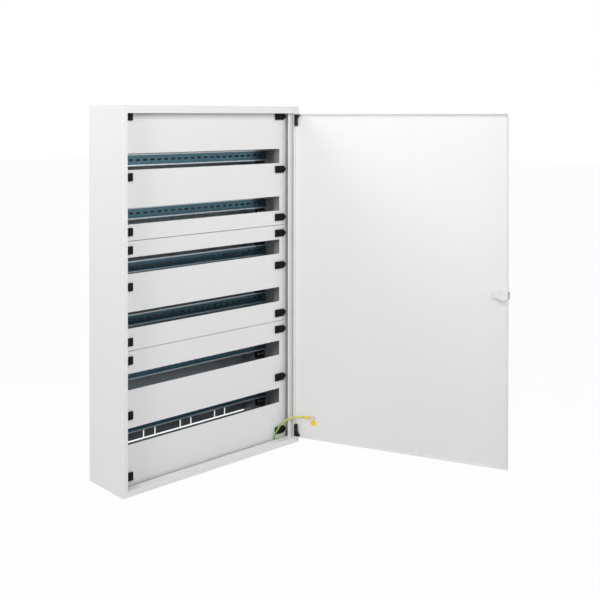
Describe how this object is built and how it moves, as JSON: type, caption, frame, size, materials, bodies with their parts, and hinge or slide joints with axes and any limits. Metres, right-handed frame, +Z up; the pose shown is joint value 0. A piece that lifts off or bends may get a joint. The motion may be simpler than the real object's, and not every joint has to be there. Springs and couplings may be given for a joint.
{
  "type": "switchboard cabinet",
  "caption": "Wall-hung steel distribution cabinet with DIN rails behind slotted cover plates held by sliding clips, a hinged door on a sprung latch and an earth lead to the door.",
  "frame": {"origin": "middle of the rear wall's outer face, the face that goes against the building wall", "axes": "+X to the right seen from the front, +Y out of the back into the building wall, +Z up"},
  "size_m": [0.9391, 0.7611, 1.062],
  "materials": {
    "powder_white": "smooth white powder coat, half matt",
    "cover_white": "smooth white powder coat, half matt",
    "latch_white": "white moulded plastic",
    "black_plastic": "black moulded plastic, fine grain",
    "zinc_blue": "blue passivated zinc plate",
    "galvanised": "galvanised sheet",
    "plain_steel": "bright zinc-plated steel",
    "bolt_grey": "grey moulded plastic",
    "tinned_copper": "tinned copper",
    "earth_green": "green and yellow cable insulation"
  },
  "bodies": {
    "case": {"case_shell": "powder_white", "rear_wall": "galvanised", "upright_left": "galvanised", "cover_ledge_left": "powder_white", "upright_right": "galvanised", "cover_ledge_right": "powder_white", "din_rail_1": "zinc_blue", "din_rail_2": "zinc_blue", "din_rail_3": "zinc_blue", "din_rail_4": "zinc_blue", "din_rail_5": "zinc_blue", "din_rail_6": "zinc_blue", "rail_carrier_left_1": "black_plastic", "rail_carrier_left_2": "black_plastic", "rail_carrier_left_3": "black_plastic", "rail_carrier_left_4": "black_plastic", "rail_carrier_left_5": "black_plastic", "rail_carrier_left_6": "black_plastic", "rail_carrier_right_1": "black_plastic", "rail_carrier_right_2": "black_plastic", "rail_carrier_right_3": "black_plastic", "rail_carrier_right_4": "black_plastic", "rail_carrier_right_5": "black_plastic", "rail_carrier_right_6": "black_plastic", "cover_1": "cover_white", "cover_2": "cover_white", "cover_3": "cover_white", "hinge_pin_bottom": "plain_steel", "hinge_pin_top": "plain_steel", "earth_stud_case": "plain_steel", "earth_lug_case": "tinned_copper", "earth_lead": "earth_green"},
    "door": {"door": "powder_white", "hinge_corner_bottom": "black_plastic", "hinge_corner_top": "black_plastic", "latch_housing": "latch_white", "earth_stud_door": "plain_steel", "earth_lug_door": "tinned_copper"},
    "latch_bolt": {"latch_bolt": "bolt_grey"},
    "cover_clip_left_1": {"cover_clip_left_1": "black_plastic"},
    "cover_clip_left_2": {"cover_clip_left_2": "black_plastic"},
    "cover_clip_left_3": {"cover_clip_left_3": "black_plastic"},
    "cover_clip_left_4": {"cover_clip_left_4": "black_plastic"},
    "cover_clip_left_5": {"cover_clip_left_5": "black_plastic"},
    "cover_clip_left_6": {"cover_clip_left_6": "black_plastic"},
    "cover_clip_left_7": {"cover_clip_left_7": "black_plastic"},
    "cover_clip_left_8": {"cover_clip_left_8": "black_plastic"},
    "cover_clip_left_9": {"cover_clip_left_9": "black_plastic"},
    "cover_clip_right_1": {"cover_clip_right_1": "black_plastic"},
    "cover_clip_right_2": {"cover_clip_right_2": "black_plastic"},
    "cover_clip_right_3": {"cover_clip_right_3": "black_plastic"},
    "cover_clip_right_4": {"cover_clip_right_4": "black_plastic"},
    "cover_clip_right_5": {"cover_clip_right_5": "black_plastic"},
    "cover_clip_right_6": {"cover_clip_right_6": "black_plastic"},
    "cover_clip_right_7": {"cover_clip_right_7": "black_plastic"},
    "cover_clip_right_8": {"cover_clip_right_8": "black_plastic"},
    "cover_clip_right_9": {"cover_clip_right_9": "black_plastic"}
  },
  "joints": [
    {"name": "door_hinge", "type": "hinge", "parent": "case", "child": "door", "pos_m": [0.3269, -0.1635, 0], "axis": [0, 0, 1], "range_deg": [-114.6, 5], "deforming": ["earth_lead"]},
    {"name": "latch_slide", "type": "slide", "parent": "door", "child": "latch_bolt", "axis": [-0.4163, 0.9092, 0], "range_m": [0, 0.0065], "stiffness_N_per_m": 400, "springref_m": -0.004},
    {"name": "cover_clip_left_1_slide", "type": "slide", "parent": "case", "child": "cover_clip_left_1", "axis": [1, 0, 0], "range_m": [0, 0.011]},
    {"name": "cover_clip_left_2_slide", "type": "slide", "parent": "case", "child": "cover_clip_left_2", "axis": [1, 0, 0], "range_m": [0, 0.011]},
    {"name": "cover_clip_left_3_slide", "type": "slide", "parent": "case", "child": "cover_clip_left_3", "axis": [1, 0, 0], "range_m": [0, 0.011]},
    {"name": "cover_clip_left_4_slide", "type": "slide", "parent": "case", "child": "cover_clip_left_4", "axis": [1, 0, 0], "range_m": [0, 0.011]},
    {"name": "cover_clip_left_5_slide", "type": "slide", "parent": "case", "child": "cover_clip_left_5", "axis": [1, 0, 0], "range_m": [0, 0.011]},
    {"name": "cover_clip_left_6_slide", "type": "slide", "parent": "case", "child": "cover_clip_left_6", "axis": [1, 0, 0], "range_m": [0, 0.011]},
    {"name": "cover_clip_left_7_slide", "type": "slide", "parent": "case", "child": "cover_clip_left_7", "axis": [1, 0, 0], "range_m": [0, 0.011]},
    {"name": "cover_clip_left_8_slide", "type": "slide", "parent": "case", "child": "cover_clip_left_8", "axis": [1, 0, 0], "range_m": [0, 0.011]},
    {"name": "cover_clip_left_9_slide", "type": "slide", "parent": "case", "child": "cover_clip_left_9", "axis": [1, 0, 0], "range_m": [0, 0.011]},
    {"name": "cover_clip_right_1_slide", "type": "slide", "parent": "case", "child": "cover_clip_right_1", "axis": [-1, 0, 0], "range_m": [0, 0.011]},
    {"name": "cover_clip_right_2_slide", "type": "slide", "parent": "case", "child": "cover_clip_right_2", "axis": [-1, 0, 0], "range_m": [0, 0.011]},
    {"name": "cover_clip_right_3_slide", "type": "slide", "parent": "case", "child": "cover_clip_right_3", "axis": [-1, 0, 0], "range_m": [0, 0.011]},
    {"name": "cover_clip_right_4_slide", "type": "slide", "parent": "case", "child": "cover_clip_right_4", "axis": [-1, 0, 0], "range_m": [0, 0.011]},
    {"name": "cover_clip_right_5_slide", "type": "slide", "parent": "case", "child": "cover_clip_right_5", "axis": [-1, 0, 0], "range_m": [0, 0.011]},
    {"name": "cover_clip_right_6_slide", "type": "slide", "parent": "case", "child": "cover_clip_right_6", "axis": [-1, 0, 0], "range_m": [0, 0.011]},
    {"name": "cover_clip_right_7_slide", "type": "slide", "parent": "case", "child": "cover_clip_right_7", "axis": [-1, 0, 0], "range_m": [0, 0.011]},
    {"name": "cover_clip_right_8_slide", "type": "slide", "parent": "case", "child": "cover_clip_right_8", "axis": [-1, 0, 0], "range_m": [0, 0.011]},
    {"name": "cover_clip_right_9_slide", "type": "slide", "parent": "case", "child": "cover_clip_right_9", "axis": [-1, 0, 0], "range_m": [0, 0.011]}
  ]
}
